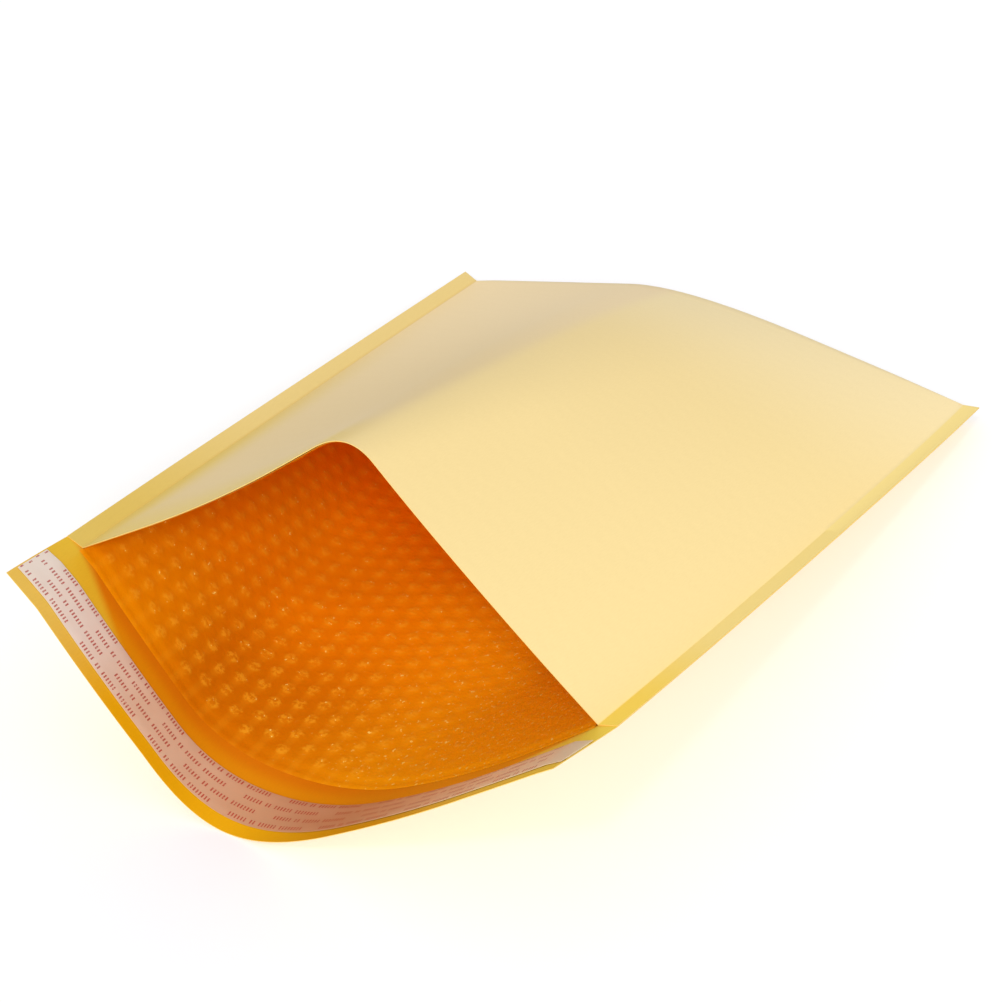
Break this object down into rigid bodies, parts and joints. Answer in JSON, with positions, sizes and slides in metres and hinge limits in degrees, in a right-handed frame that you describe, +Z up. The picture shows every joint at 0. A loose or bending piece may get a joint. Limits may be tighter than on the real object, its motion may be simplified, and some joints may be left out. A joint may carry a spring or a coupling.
{
  "type": "bubble mailer",
  "caption": "Padded kraft mailer lying open: a folded and side-sealed paper pouch lined with bubble film, its flap carrying a covered adhesive strip.",
  "frame": {"origin": "on the surface it lies on, under the middle of its footprint", "axes": "+Y along the mailer from the flap to the folded end, +X across it to the right seam, +Z up from its back panel"},
  "size_m": [0.2884, 0.4274, 0.1494],
  "materials": {
    "kraft_paper": "smooth golden kraft paper, faint lengthwise streaks",
    "bubble_film": "glossy clear film over golden paper, deep orange inside the pouch",
    "adhesive": "translucent hot-melt adhesive",
    "cover_film": "smooth pale release paper with rows of short red bars"
  },
  "bodies": {
    "root": {"kraft_envelope": "kraft_paper", "bubble_liner": "bubble_film", "adhesive_strip": "adhesive", "release_liner": "cover_film"}
  },
  "joints": []
}
